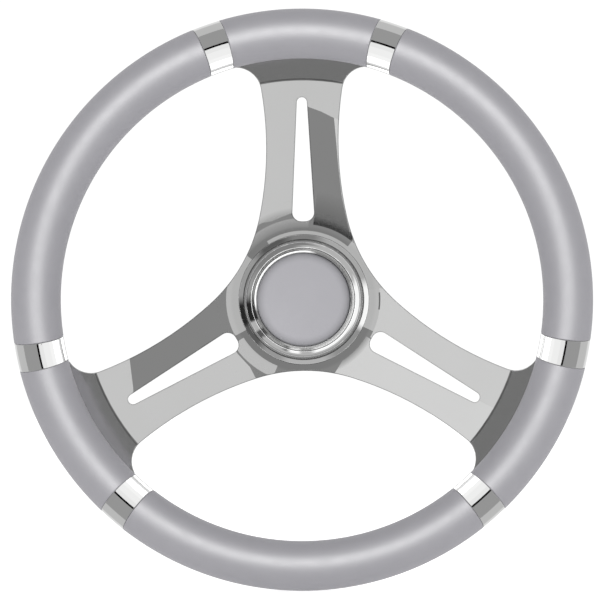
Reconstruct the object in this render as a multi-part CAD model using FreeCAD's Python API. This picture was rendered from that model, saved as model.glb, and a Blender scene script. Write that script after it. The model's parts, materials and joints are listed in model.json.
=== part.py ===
"""Boat steering wheel: a dished stainless spider in a soft grip with six polished bands.

Frame, in millimetres: the wheel stands as it is mounted, with its axis along Y.
The driver looks along +Y and sees one arm pointing straight up, along +Z.
The origin is the centre of the hub's back face, at the wide end of its tapered bore.
Depths are measured forward from that face, towards the driver, so depth d lies at y = -d.
Angles are measured round the axis from +X towards +Z.
"""

import FreeCAD
import Part
import math
import os

# Rim: a steel tube ring inside moulded grips
wheel_diameter = 350.0
grip_diameter = 30.0
grip_edge_round = 0.7
core_diameter = 14.0
core_wall = 1.5
mould_gap = 0.1

# Polished bands, one on each side of every arm
arm_count = 3
first_arm_angle = 90.0
band_start_angle = 16.2
band_angle = 5.6
band_lean = 9.4
band_wall = 1.2
band_edge_round = 0.35
band_gap = 0.1
tongue_gap = 0.2

# Spider plate: flat at the hub, a shallow cone along the arms, a steep cone at the rim
plate_thickness = 4.0
plate_depth = 29.0
inner_bend_radius = 43.7
inner_bend_round = 22.0
arm_slope = 13.0
outer_bend_inset = 11.05
outer_bend_round = 5.0
end_slope = 46.0
plate_edge_round = 0.9
flange_setback_angle = 0.7
pocket_gap = 0.1
weld_gap = 0.15

# Outline of the arms, seen along the axis
web_arc_radius = 97.0
waist_distance = 94.0
waist_half_width = 21.9
arm_edge_radius = 208.0
corner_round = 14.9
corner_overlap = 1.0

# Tapered slot in each arm
slot_inner_end = 47.4
slot_inner_round = 5.4
slot_inner_half_width = 6.5
slot_bend_gap = 11.85
slot_outer_round = 3.0

# Hub boss with the tapered bore for the helm's shaft
taper_large_diameter = 19.05
taper_ratio = 12.0
taper_length = 26.0
mouth_chamfer = 0.6
barrel_diameter = 42.0
barrel_chamfer = 1.5
boss_fillet = 3.0
boss_flange_diameter = 70.5
boss_flange_thickness = 6.5
boss_edge_round = 0.8
spigot_diameter = 49.0
spigot_length = 10.0
spigot_gap = 0.1
nut_chamber_diameter = 34.0
keyway_width = 4.76
keyway_depth = 2.4
keyway_run_out = 1.5

# Countersunk screws that hold the spider to the boss, under the bezel
screw_count = 6
screw_circle_diameter = 60.4
screw_diameter = 5.0
screw_head_diameter = 9.0
screw_head_half_angle = 45.0
screw_head_sink = 0.2
screw_length = 9.5
screw_gap = 0.1
screw_hex_width = 3.0
screw_hex_depth = 1.6

# Bezel ring round the cap, with its heights above the plate
bezel_diameter = 79.2
bezel_edge_height = 1.8
bezel_edge_round = 1.0
bezel_shoulder_height = 3.4
bezel_shoulder_round = 0.4
bezel_groove_width = 0.8
bezel_groove_depth = 0.7
bezel_groove_round = 0.35
crown_outer_diameter = 71.4
crown_inner_diameter = 61.8
crown_height = 12.6
crown_outer_round = 2.7
crown_inner_round = 2.0
ledge_height = 10.3
ledge_round = 0.35
cap_bore_diameter = 60.2
cap_seat_height = 7.0
skirt_pocket_height = 3.5
skirt_pocket_diameter = 55.0
thread_gap = 0.08

# Cap: a polished cup that holds a grey disc and snaps in on a rubber ring
cap_rim_gap = 0.3
cap_gap = 0.12
cup_wall = 1.2
cup_floor = 1.3
cup_lip_height = 2.9
cup_lip_round = 0.5
cup_skirt_length = 3.2
cup_skirt_wall = 2.0
disc_gap = 0.05
disc_edge_height = 2.7
disc_edge_round = 2.2
disc_dome_height = 0.4
o_ring_section = 1.3
o_ring_gap = 0.05

AXIS = FreeCAD.Vector(0, 1, 0)
FORWARD = FreeCAD.Vector(0, -1, 0)
UP = FreeCAD.Vector(0, 0, 1)
ORIGIN = FreeCAD.Vector(0, 0, 0)
UP_ANGLE = 90.0
SAME_POINT = 0.1

# Sizes that follow from the ones above
grip_radius = grip_diameter / 2
core_radius = core_diameter / 2
rim_radius = (wheel_diameter - grip_diameter) / 2
rim_inner_edge = rim_radius - grip_radius
tongue_radius = grip_radius - band_wall - band_gap
arm_pitch = 360.0 / arm_count
arm_angles = [first_arm_angle + arm_pitch * i for i in range(arm_count)]
flange_half_angle = band_start_angle - flange_setback_angle
outer_bend_radius = rim_inner_edge - outer_bend_inset
plate_front = plate_depth + plate_thickness / 2
plate_back = plate_depth - plate_thickness / 2
arm_end_depth = plate_depth + (outer_bend_radius - inner_bend_radius) * math.tan(math.radians(arm_slope))
rim_depth = arm_end_depth + (rim_radius - outer_bend_radius) * math.tan(math.radians(end_slope))
beyond_everything = wheel_diameter + rim_depth
taper_slope = 1 / (2 * taper_ratio)
taper_large_radius = taper_large_diameter / 2
spigot_radius = spigot_diameter / 2
spigot_front = plate_back + spigot_length
screw_radius = screw_diameter / 2
screw_head_front = plate_front - screw_head_sink
cap_seat = plate_front + cap_seat_height
skirt_pocket_floor = plate_front + skirt_pocket_height
skirt_pocket_radius = skirt_pocket_diameter / 2
cap_bore_radius = cap_bore_diameter / 2
cup_radius = cap_bore_radius - cap_rim_gap
cup_seat = cap_seat + cap_gap
cup_floor_front = cup_seat + cup_floor
seal_depth = cup_seat - cup_skirt_length / 2
seal_groove_radius = skirt_pocket_radius - 2 * o_ring_gap - o_ring_section


def at(radius, depth):
    """A point of a turned profile, at that radius and depth."""
    return FreeCAD.Vector(radius, -depth, 0)


def in_plane(across, along):
    """A point of an outline seen along the axis, with `along` pointing up."""
    return FreeCAD.Vector(across, 0, along)


def turn(shape, degrees):
    """A copy of the shape, turned round the wheel's axis from +X towards +Z."""
    copy = shape.copy()
    copy.rotate(ORIGIN, FORWARD, degrees)
    return copy


def line(start, end):
    """A straight edge."""
    return Part.LineSegment(start, end).toShape()


def closed_lines(points):
    """Straight edges from each point to the next and back to the first."""
    return [line(a, b) for a, b in zip(points, points[1:] + points[:1])]


def arc_about(centre, radius, start, end):
    """The shorter arc from start to end on the circle of that centre and radius."""
    middle = (start + end) * 0.5 - centre
    middle.normalize()
    return Part.Arc(start, centre + middle * radius, end).toShape()


def rounded_path(points, rounds):
    """Edges along the points, with an arc of each radius at the corners between them."""
    edges = []
    start = points[0]
    for before, corner, after, radius in zip(points, points[1:], points[2:], rounds):
        back = (before - corner).normalize()
        ahead = (after - corner).normalize()
        half = math.acos(back.dot(ahead)) / 2
        reach = radius / math.tan(half)
        first = corner + back * reach
        last = corner + ahead * reach
        centre = corner + (back + ahead).normalize() * (radius / math.sin(half))
        edges.append(line(start, first))
        edges.append(arc_about(centre, radius, first, last))
        start = last
    edges.append(line(start, points[-1]))
    return edges


def revolved(edges, degrees=360.0):
    """The solid that a closed profile of radius and depth sweeps round the axis."""
    wire = Part.Wire(Part.__sortEdges__(edges))
    return Part.Face(wire).revolve(ORIGIN, AXIS, degrees)


def through_plate(edges):
    """A cutter with that outline, parallel to the axis and longer than the wheel is deep."""
    face = Part.Face(Part.Wire(Part.__sortEdges__(edges)))
    face.translate(AXIS * grip_radius)
    return face.extrude(FORWARD * beyond_everything)


def ring(section_radius):
    """A full round ring on the rim's centre line."""
    return Part.makeTorus(rim_radius, section_radius, at(0, rim_depth), AXIS)


def space_past(angle, lean):
    """All space past a plane that crosses the rim at that angle and leans at its front."""
    theta = math.radians(angle)
    radial = FreeCAD.Vector(math.cos(theta), 0, math.sin(theta))
    round_rim = FreeCAD.Vector(-math.sin(theta), 0, math.cos(theta))
    tilt = math.radians(lean)
    normal = round_rim * math.cos(tilt) - FORWARD * math.sin(tilt)
    size = 2 * beyond_everything
    corner = FreeCAD.Vector(-size / 2, -size / 2, 0)
    box = Part.makeBox(size, size, size, corner)
    box.Placement = FreeCAD.Placement(
        radial * rim_radius + at(0, rim_depth),
        FreeCAD.Rotation(radial, normal.cross(radial), normal, "ZXY"),
    )
    return box


def rim_stretch(section_radius, start, start_lean, end, end_lean):
    """The stretch of a round ring between two planes that cross the rim."""
    return ring(section_radius).common(space_past(start, start_lean)).cut(space_past(end, end_lean))


def round_ends(shape, radius):
    """The shape with the closed edges round its ends rounded."""
    return shape.makeFillet(radius, [edge for edge in shape.Edges if edge.isClosed()])


def plate_line(offset):
    """Corner points and bend radii of the plate's section, offset forward from its middle."""
    arm = math.radians(arm_slope)
    end = math.radians(end_slope)
    points = [at(0, plate_depth + offset)]
    corners = [
        (inner_bend_radius, plate_depth, 0.0, arm),
        (outer_bend_radius, arm_end_depth, arm, end),
    ]
    for radius, depth, before, after in corners:
        along = (before + after) / 2
        shift = offset / math.cos((after - before) / 2)
        points.append(at(radius - shift * math.sin(along), depth + shift * math.cos(along)))
    points.append(at(rim_radius - offset * math.sin(end), rim_depth + offset * math.cos(end)))
    return points, [inner_bend_round - offset, outer_bend_round - offset]


def pressed_dish(growth, degrees=360.0):
    """The dish before its arms are cut out, with each face moved out by the growth."""
    half = plate_thickness / 2 + growth
    front, front_rounds = plate_line(half)
    back, back_rounds = plate_line(-half)
    edges = rounded_path(front, front_rounds) + rounded_path(back, back_rounds)
    edges += [line(front[0], back[0]), line(front[-1], back[-1])]
    return revolved(edges, degrees)


def touching_point(centre, radius, inner_centre):
    """Where a circle is touched from inside by a smaller one about the inner centre."""
    return centre + (inner_centre - centre).normalize() * radius


def window():
    """Cutter for the space between two arms, with its middle line pointing up."""
    half_pitch = math.radians(arm_pitch / 2)

    def from_arm(along, across):
        """A point given along and across the arm on the window's left."""
        up = along * math.cos(half_pitch) + across * math.sin(half_pitch)
        left = along * math.sin(half_pitch) - across * math.cos(half_pitch)
        return in_plane(-left, up)

    def on_ray(distance, degrees):
        """A point at that distance, at that angle from the arm's own middle line."""
        angle = math.radians(degrees)
        return from_arm(distance * math.cos(angle), distance * math.sin(angle))

    # The arm's edge is one large arc, closest to the arm's middle line at the waist
    edge_centre = from_arm(waist_distance, waist_half_width + arm_edge_radius)
    # The web arc is centred on the window's middle line and touches the edge arc from inside
    web_drop = math.sqrt((arm_edge_radius - web_arc_radius) ** 2 - edge_centre.x**2)
    web_centre = in_plane(0, edge_centre.z - web_drop)
    web_middle = in_plane(0, web_centre.z - web_arc_radius)
    web_end = touching_point(edge_centre, arm_edge_radius, web_centre)
    # The corner arc touches the edge arc and a circle just inside the grip
    circle_radius = rim_inner_edge + corner_overlap
    corner_reach = circle_radius - corner_round
    edge_gap = arm_edge_radius - corner_round
    cosine = (corner_reach**2 + edge_centre.Length**2 - edge_gap**2) / (2 * corner_reach * edge_centre.Length)
    edge_angle = math.degrees(math.atan2(waist_half_width + arm_edge_radius, waist_distance))
    corner_angle = edge_angle - math.degrees(math.acos(cosine))
    corner_centre = on_ray(corner_reach, corner_angle)
    corner_start = touching_point(edge_centre, arm_edge_radius, corner_centre)
    # The plate goes into the grip along a ray beside the band
    off_ray = math.radians(corner_angle - flange_half_angle)
    ray_reach = corner_reach * math.cos(off_ray)
    ray_reach += math.sqrt(corner_round**2 - (corner_reach * math.sin(off_ray)) ** 2)
    corner_end = on_ray(ray_reach, flange_half_angle)
    past_rim = on_ray(beyond_everything, flange_half_angle)

    left_side = [
        arc_about(edge_centre, arm_edge_radius, web_end, corner_start),
        arc_about(corner_centre, corner_round, corner_start, corner_end),
        line(corner_end, past_rim),
    ]
    right_side = [edge.mirror(ORIGIN, FreeCAD.Vector(1, 0, 0)) for edge in left_side]
    web = Part.Arc(web_end, web_middle, in_plane(-web_end.x, web_end.z)).toShape()
    outside = line(past_rim, in_plane(-past_rim.x, past_rim.z))
    return through_plate(left_side + right_side + [web, outside])


def slot():
    """Cutter for one arm's tapered slot, pointing up: round at the rim end, wide at the hub."""
    tip = in_plane(0, outer_bend_radius - slot_bend_gap - slot_outer_round)
    heel = in_plane(slot_inner_half_width - slot_inner_round, slot_inner_end + slot_inner_round)
    reach = tip - heel
    lean = math.atan2(heel.x, reach.z) + math.asin((slot_inner_round - slot_outer_round) / reach.Length)
    outward = in_plane(math.cos(lean), math.sin(lean))
    tip_side = tip + outward * slot_outer_round
    heel_side = heel + outward * slot_inner_round
    heel_base = in_plane(heel.x, slot_inner_end)
    half = [
        line(tip_side, heel_side),
        arc_about(heel, slot_inner_round, heel_side, heel_base),
        line(heel_base, in_plane(0, slot_inner_end)),
    ]
    other_half = [edge.mirror(ORIGIN, FreeCAD.Vector(1, 0, 0)) for edge in half]
    tip_top = in_plane(0, tip.z + slot_outer_round)
    tip_arc = Part.Arc(tip_side, tip_top, in_plane(-tip_side.x, tip_side.z)).toShape()
    return through_plate(half + other_half + [tip_arc])


def is_long_edge(edge):
    """Whether an edge of the spider runs along its outline, on the front or the back."""
    middle = edge.valueAt((edge.FirstParameter + edge.LastParameter) / 2)
    reach = math.hypot(middle.x, middle.z)
    if not slot_inner_end - slot_inner_round < reach < rim_inner_edge:
        return False
    start = edge.Vertexes[0].Point
    end = edge.Vertexes[-1].Point
    crosses_sheet = math.hypot(start.x - end.x, start.z - end.z) < SAME_POINT
    if crosses_sheet or not isinstance(edge.Curve, Part.Circle):
        return not crosses_sheet
    centre = edge.Curve.Center
    return math.hypot(centre.x, centre.z) > SAME_POINT


def screw_angles():
    """The angles of the screws round the hub, midway between the arms' middle lines."""
    step = 360.0 / screw_count
    return [first_arm_angle + step * (i + 0.5) for i in range(screw_count)]


def screw_body(gap):
    """A countersunk screw in its place beside the axis along +X, or its hole with that gap."""
    head_radius = screw_head_diameter / 2
    cone = (head_radius - screw_radius) / math.tan(math.radians(screw_head_half_angle))
    tip = screw_head_front - screw_length - gap
    profile = [
        at(0, tip),
        at(screw_radius + gap, tip),
        at(screw_radius + gap, screw_head_front - cone),
        at(head_radius + gap, screw_head_front),
    ]
    if gap:
        profile += [at(head_radius + gap, plate_front + gap), at(0, plate_front + gap)]
    else:
        profile += [at(0, screw_head_front)]
    body = revolved(closed_lines(profile))
    body.translate(FreeCAD.Vector(screw_circle_diameter / 2, 0, 0))
    return body


def make_spider():
    """The pressed spider: hub plate and three slotted arms in one sheet."""
    bore = Part.makeCylinder(spigot_radius + spigot_gap, beyond_everything, ORIGIN, FORWARD)
    plate = pressed_dish(0).cut(bore)
    for angle in arm_angles:
        plate = plate.cut(turn(slot(), angle - UP_ANGLE))
        plate = plate.cut(turn(window(), angle - UP_ANGLE + arm_pitch / 2))
    edge_round = min(plate_edge_round, plate_thickness / 3)
    plate = plate.makeFillet(edge_round, [edge for edge in plate.Edges if is_long_edge(edge)])
    plate = plate.cut(ring(core_radius + weld_gap))
    for angle in screw_angles():
        plate = plate.cut(turn(screw_body(screw_gap), angle))
    return plate


def make_core():
    """The steel tube ring inside the grip, to which the arms are welded."""
    return ring(core_radius).cut(ring(core_radius - core_wall))


def make_grip(start, start_lean, end, end_lean):
    """A moulded grip between two bands, with a tongue under the near half of each."""
    body = rim_stretch(grip_radius, start, start_lean, end, end_lean)
    body = round_ends(body, min(grip_edge_round, band_wall / 2))
    reach = band_angle / 2 - math.degrees(tongue_gap / 2 / rim_radius)
    tongue = rim_stretch(tongue_radius, start - reach, start_lean, end + reach, end_lean)
    return body.fuse(tongue).cut(ring(core_radius + mould_gap))


def flange_pocket():
    """The room for an arm's outer end in the grip, for the arm that points up."""
    half = flange_half_angle + math.degrees(pocket_gap / rim_radius)
    return turn(pressed_dish(pocket_gap, 2 * half), UP_ANGLE + half)


def make_band(start, start_lean, end, end_lean):
    """A polished sleeve, flush with the grips on either side."""
    sleeve = rim_stretch(grip_radius, start, start_lean, end, end_lean)
    sleeve = round_ends(sleeve, min(band_edge_round, band_wall / 2))
    return sleeve.cut(ring(grip_radius - band_wall))


def keyway():
    """Cutter for the keyway in the tapered bore, which follows the taper."""
    reach = taper_large_radius + keyway_depth
    length = taper_length + 2 * keyway_run_out
    corner = FreeCAD.Vector(-keyway_width / 2, -taper_length - keyway_run_out, 0)
    key = Part.makeBox(keyway_width, length, reach, corner)
    key.rotate(UP * reach, FreeCAD.Vector(1, 0, 0), math.degrees(math.atan(taper_slope)))
    return key


def make_boss():
    """The turned hub: barrel, flange, spigot, nut chamber, and tapered bore with its keyway."""
    flange_back = plate_back - boss_flange_thickness
    flange_radius = boss_flange_diameter / 2
    barrel = barrel_diameter / 2
    chamber = nut_chamber_diameter / 2
    throat = at(taper_large_radius - taper_slope * taper_length, taper_length)
    mouth = at(taper_large_radius, 0)
    outside = rounded_path(
        [
            at(taper_large_radius + mouth_chamfer, 0),
            at(barrel, 0),
            at(barrel, flange_back),
            at(flange_radius, flange_back),
            at(flange_radius, plate_back),
        ],
        [barrel_chamfer, boss_fillet, boss_edge_round],
    )
    front = [
        at(flange_radius, plate_back),
        at(spigot_radius, plate_back),
        at(spigot_radius, spigot_front - boss_edge_round),
        at(spigot_radius - boss_edge_round, spigot_front),
        at(chamber + mouth_chamfer, spigot_front),
        at(chamber, spigot_front - mouth_chamfer),
        at(chamber, taper_length),
        throat,
        mouth + (throat - mouth).normalize() * mouth_chamfer,
        at(taper_large_radius + mouth_chamfer, 0),
    ]
    boss = revolved(outside + closed_lines(front)[:-1]).cut(keyway())
    for angle in screw_angles():
        boss = boss.cut(turn(screw_body(screw_gap), angle))
    return boss


def make_screw(angle):
    """A countersunk socket screw in the plate and the boss."""
    corner = screw_hex_width / math.sqrt(3)
    points = []
    for i in range(6):
        turned_by = math.radians(60 * i)
        points.append(in_plane(corner * math.cos(turned_by), corner * math.sin(turned_by)))
    hexagon = Part.Face(Part.Wire(closed_lines(points)))
    hexagon.translate(at(screw_circle_diameter / 2, screw_head_front - screw_hex_depth))
    socket = hexagon.extrude(FORWARD * screw_length)
    return turn(screw_body(0).cut(socket), angle)


def make_bezel():
    """The polished ring on the spigot: sloping shoulder, groove, round crown, ledge and cap seat."""
    bore = spigot_radius + thread_gap
    outer = bezel_diameter / 2
    crown = plate_front + crown_height
    crown_outer = crown_outer_diameter / 2
    crown_inner = crown_inner_diameter / 2
    ledge = plate_front + ledge_height
    shoulder = plate_front + bezel_shoulder_height
    groove_floor = shoulder - bezel_groove_depth
    groove_outer = crown_outer + bezel_groove_width
    outside = rounded_path(
        [
            at(bore, plate_front),
            at(outer, plate_front),
            at(outer, plate_front + bezel_edge_height),
            at(groove_outer, shoulder),
            at(groove_outer, groove_floor),
            at(crown_outer, groove_floor),
            at(crown_outer, crown),
            at(crown_inner, crown),
            at(crown_inner, ledge),
            at(cap_bore_radius, ledge),
            at(cap_bore_radius, cap_seat),
        ],
        [
            bezel_shoulder_round,
            bezel_edge_round,
            bezel_shoulder_round / 2,
            bezel_groove_round,
            bezel_groove_round,
            crown_outer_round,
            crown_inner_round,
            ledge_round,
            ledge_round,
        ],
    )
    inside = [
        at(cap_bore_radius, cap_seat),
        at(skirt_pocket_radius, cap_seat),
        at(skirt_pocket_radius, skirt_pocket_floor),
        at(bore, skirt_pocket_floor),
        at(bore, plate_front),
    ]
    return revolved(outside + closed_lines(inside)[:-1])


def make_cup():
    """The polished cup of the cap, with its skirt and the groove for the rubber ring."""
    top = cup_floor_front + cup_lip_height
    inner = cup_radius - cup_wall
    skirt = skirt_pocket_radius - cap_gap
    skirt_inner = skirt - cup_skirt_wall
    skirt_end = cup_seat - cup_skirt_length
    groove_half = o_ring_section / 2 + o_ring_gap
    lip = rounded_path(
        [
            at(cup_radius, cup_seat),
            at(cup_radius, top),
            at(inner, top),
            at(inner, cup_floor_front),
        ],
        [cup_lip_round, cup_lip_round],
    )
    rest = [
        at(inner, cup_floor_front),
        at(0, cup_floor_front),
        at(0, cup_seat),
        at(skirt_inner, cup_seat),
        at(skirt_inner, skirt_end),
        at(skirt, skirt_end),
        at(skirt, seal_depth - groove_half),
        at(seal_groove_radius, seal_depth - groove_half),
        at(seal_groove_radius, seal_depth + groove_half),
        at(skirt, seal_depth + groove_half),
        at(skirt, cup_seat),
        at(cup_radius, cup_seat),
    ]
    return revolved(lip + closed_lines(rest)[:-1])


def make_o_ring():
    """The rubber ring that holds the cap in the bezel."""
    centre_radius = seal_groove_radius + o_ring_gap + o_ring_section / 2
    return Part.makeTorus(centre_radius, o_ring_section / 2, at(0, seal_depth), AXIS)


def make_disc():
    """The grey disc in the cup, slightly domed, with a soft edge."""
    back = cup_floor_front + disc_gap
    radius = cup_radius - cup_wall - cap_gap
    shoulder = back + disc_edge_height
    top = shoulder + disc_dome_height
    dome_radius = (radius**2 + disc_dome_height**2) / (2 * disc_dome_height)
    dome = arc_about(at(0, top - dome_radius), dome_radius, at(0, top), at(radius, shoulder))
    sides = closed_lines([at(radius, shoulder), at(radius, back), at(0, back), at(0, top)])[:-1]
    disc = revolved(sides + [dome])
    front_rim = [e for e in disc.Edges if e.isClosed() and e.Vertexes[0].Point.y < -back - disc_gap]
    return disc.makeFillet(disc_edge_round, front_rim)


def rim_pieces():
    """The grips and bands, by name, arm by arm round the rim."""
    pieces = {}
    pocket = flange_pocket()
    near = band_start_angle
    far = band_start_angle + band_angle
    for i, angle in enumerate(arm_angles):
        arm_grip = make_grip(angle - near, band_lean, angle + near, -band_lean)
        pieces[f"grip_at_arm_{i + 1}"] = arm_grip.cut(turn(pocket, angle - UP_ANGLE))
        next_arm = angle + arm_pitch
        pieces[f"grip_between_{i + 1}"] = make_grip(angle + far, -band_lean, next_arm - far, band_lean)
        pieces[f"band_{2 * i + 1}"] = make_band(angle - far, band_lean, angle - near, band_lean)
        pieces[f"band_{2 * i + 2}"] = make_band(angle + near, -band_lean, angle + far, -band_lean)
    return pieces


def build():
    """Every piece of the wheel, by name."""
    pieces = {
        "spoke_spider": make_spider(),
        "rim_core_tube": make_core(),
        "hub_boss": make_boss(),
        "bezel_ring": make_bezel(),
        "cap_cup": make_cup(),
        "cap_disc": make_disc(),
        "cap_o_ring": make_o_ring(),
    }
    for i, angle in enumerate(screw_angles()):
        pieces[f"hub_screw_{i + 1}"] = make_screw(angle)
    pieces.update(rim_pieces())
    return pieces


def main():
    """Builds the wheel and writes one STEP file for each piece."""
    os.makedirs("parts", exist_ok=True)
    for name, shape in build().items():
        solid = shape.Solids[0] if len(shape.Solids) == 1 else shape
        print(name, len(shape.Solids), "solid", round(solid.Volume / 1000, 2), "cm3", solid.isValid())
        solid.exportStep(f"parts/{name}.step")


if __name__ == "__main__":
    main()
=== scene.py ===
"""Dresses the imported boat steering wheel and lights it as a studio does.

The wheel stands as it is mounted: its axis is along Y, the driver looks along +Y, and one arm
points straight up along +Z. Lengths are in metres, or in millimetres where a docstring says so,
and angles are measured round the axis from +X towards +Z unless they are on the clock face.
"""

import json
import logging
import math
from dataclasses import dataclass, field
from enum import Enum

import bmesh
import bpy
from mathutils import Matrix, Quaternion, Vector


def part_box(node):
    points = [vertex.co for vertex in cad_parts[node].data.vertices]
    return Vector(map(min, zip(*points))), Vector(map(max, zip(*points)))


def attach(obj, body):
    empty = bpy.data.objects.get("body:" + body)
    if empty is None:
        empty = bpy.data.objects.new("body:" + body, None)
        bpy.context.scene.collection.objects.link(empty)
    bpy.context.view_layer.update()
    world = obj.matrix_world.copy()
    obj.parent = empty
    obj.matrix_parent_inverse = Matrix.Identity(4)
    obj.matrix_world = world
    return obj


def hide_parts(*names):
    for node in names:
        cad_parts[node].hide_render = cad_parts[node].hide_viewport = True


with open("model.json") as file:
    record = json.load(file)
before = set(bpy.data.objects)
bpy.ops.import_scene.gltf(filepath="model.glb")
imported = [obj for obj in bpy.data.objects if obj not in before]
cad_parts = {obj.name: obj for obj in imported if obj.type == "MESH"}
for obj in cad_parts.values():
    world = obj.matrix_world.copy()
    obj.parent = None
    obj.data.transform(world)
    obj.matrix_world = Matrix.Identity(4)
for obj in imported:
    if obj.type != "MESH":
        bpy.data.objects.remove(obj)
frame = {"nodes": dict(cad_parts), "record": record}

Socket = bpy.types.NodeSocket
Shape = bmesh.types.BMesh
Color = tuple[float, float, float]
Outline = list[tuple[float, float]]
Stops = list[tuple[float, float]]

LOG = logging.getLogger("steering_wheel")
MM = 0.001
WELD = 1e-7
BODY = "root"
FORWARD = Vector((0.0, -1.0, 0.0))
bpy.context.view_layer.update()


class Finish(Enum):
    """The finishes of the wheel, by the record's slot."""

    POLISHED = "polished_stainless"
    PLAIN = "plain_stainless"
    GRIP = "grip_grey"
    DISC = "disc_grey"
    RUBBER = "black_rubber"


def new_material(name: str) -> bpy.types.Material:
    """Makes an empty node material.

    Args:
        name: The material's name.

    Returns:
        A material whose node tree holds only its output.
    """
    material = bpy.data.materials.new(name)
    material.use_nodes = True
    tree = material.node_tree
    for node in list(tree.nodes):
        if node.type != "OUTPUT_MATERIAL":
            tree.nodes.remove(node)
    return material


def new_object(name: str, shape: Shape, material: bpy.types.Material) -> bpy.types.Object:
    """Makes a smooth object from a finished bmesh.

    Args:
        name: The object's name.
        shape: The bmesh, which is freed.
        material: What the object is made of.

    Returns:
        The object, at the origin.
    """
    mesh = bpy.data.meshes.new(name)
    shape.to_mesh(mesh)
    shape.free()
    mesh.polygons.foreach_set("use_smooth", [True] * len(mesh.polygons))
    mesh.materials.append(material)
    obj = bpy.data.objects.new(name, mesh)
    bpy.context.scene.collection.objects.link(obj)
    return obj


@dataclass(frozen=True)
class NodeChain:
    """Adds nodes to a tree and joins them with few words."""

    tree: bpy.types.NodeTree

    def add(self, kind: str, **settings: object) -> bpy.types.Node:
        """Adds a node and sets its options or its inputs' values.

        Args:
            kind: The node's Blender type.
            **settings: Options of the node, or values of its inputs with spaces as underscores.

        Returns:
            The new node.
        """
        node = self.tree.nodes.new(kind)
        for key, value in settings.items():
            if hasattr(node, key):
                setattr(node, key, value)
            else:
                node.inputs[key.replace("_", " ")].default_value = value
        return node

    def join(self, source: Socket, target: Socket) -> None:
        """Links an output to an input."""
        self.tree.links.new(source, target)

    def output(self) -> bpy.types.Node:
        """The tree's output node."""
        return next(node for node in self.tree.nodes if node.type.startswith("OUTPUT"))

    def object_coordinates(self) -> Socket:
        """The object coordinates, which are the wheel's own, as each object sits at the origin."""
        return self.add("ShaderNodeTexCoord").outputs["Object"]

    def math(self, operation: str, first: Socket | float, second: Socket | float = 0.0) -> Socket:
        """A sum on two values.

        Args:
            operation: The Math node's operation.
            first: The first value, or a socket that gives it.
            second: The second value, or a socket that gives it.

        Returns:
            The result.
        """
        node = self.add("ShaderNodeMath", operation=operation)
        for socket, value in zip(node.inputs, (first, second)):
            if isinstance(value, Socket):
                self.join(value, socket)
            else:
                socket.default_value = value
        return node.outputs["Value"]

    def noise(self, where: Socket, scale: float, detail: float = 3.0) -> Socket:
        """A noise value over those coordinates.

        Args:
            where: The coordinates to read.
            scale: Cells per metre.
            detail: Octaves of finer noise.

        Returns:
            The noise's value, between 0 and 1.
        """
        node = self.add("ShaderNodeTexNoise", Scale=scale, Detail=detail)
        self.join(where, node.inputs["Vector"])
        return node.outputs["Fac"]

    def map_range(self, value: Socket, span: tuple[float, float], result: tuple[float, float]) -> Socket:
        """Maps a value from one span to another.

        Args:
            value: The value to map.
            span: The span that it comes in.
            result: What the span's two ends become.

        Returns:
            The mapped value.
        """
        ends = {"From_Min": span[0], "From_Max": span[1], "To_Min": result[0], "To_Max": result[1]}
        node = self.add("ShaderNodeMapRange", **ends)
        self.join(value, node.inputs["Value"])
        return node.outputs["Result"]

    def spread(self, value: Socket, low: float, high: float) -> Socket:
        """Maps a noise value, which mostly lies from 0.3 to 0.7, to a range."""
        return self.map_range(value, (0.3, 0.7), (low, high))

    def tint(self, value: Socket, first: Color, second: Color) -> Socket:
        """A colour between two, by a value from 0 to 1.

        Args:
            value: How far to go from the first colour to the second.
            first: The colour at 0.
            second: The colour at 1.

        Returns:
            The mixed colour.
        """
        ramp = self.add("ShaderNodeValToRGB")
        ends = ramp.color_ramp.elements
        ends[0].color = (*first, 1.0)
        ends[1].color = (*second, 1.0)
        self.join(value, ramp.inputs["Fac"])
        return ramp.outputs["Color"]

    def off_axis(self, where: Socket) -> Socket:
        """How far a place lies from the wheel's axis.

        Args:
            where: The place's coordinates.

        Returns:
            The distance in metres.
        """
        parts = self.add("ShaderNodeSeparateXYZ")
        self.join(where, parts.inputs["Vector"])
        squash = self.add("ShaderNodeCombineXYZ")
        self.join(parts.outputs["X"], squash.inputs["X"])
        self.join(parts.outputs["Z"], squash.inputs["Z"])
        reach = self.add("ShaderNodeVectorMath", operation="LENGTH")
        self.join(squash.outputs["Vector"], reach.inputs[0])
        return reach.outputs["Value"]

    def clock(self, where: Socket) -> Socket:
        """Where a place lies round the clock face.

        Args:
            where: The place's coordinates.

        Returns:
            A value from 0 at the bottom, clockwise, to 1.
        """
        parts = self.add("ShaderNodeSeparateXYZ")
        self.join(where, parts.inputs["Vector"])
        angle = self.math("ARCTAN2", parts.outputs["X"], parts.outputs["Z"])
        return self.map_range(angle, (-math.pi, math.pi), (0.0, 1.0))

    def greys(self, value: Socket, stops: Stops) -> Socket:
        """A grey by a value from 0 to 1.

        Args:
            value: Where to read the ramp.
            stops: Places from 0 to 1, in order, each with its grey.

        Returns:
            The grey, as a colour.
        """
        ramp = self.add("ShaderNodeValToRGB")
        elements = ramp.color_ramp.elements
        while len(elements) > 1:
            elements.remove(elements[-1])
        for i, (place, grey) in enumerate(stops):
            element = elements[0] if i == 0 else elements.new(place)
            element.position = place
            element.color = (grey, grey, grey, 1.0)
        self.join(value, ramp.inputs["Fac"])
        return ramp.outputs["Color"]

    def bump(self, height: Socket, depth: float) -> Socket:
        """A bumped normal.

        Args:
            height: The height pattern, from 0 to 1.
            depth: The pattern's real height in metres.

        Returns:
            The normal.
        """
        node = self.add("ShaderNodeBump", Distance=depth, Strength=1.0)
        self.join(height, node.inputs["Height"])
        return node.outputs["Normal"]

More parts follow.
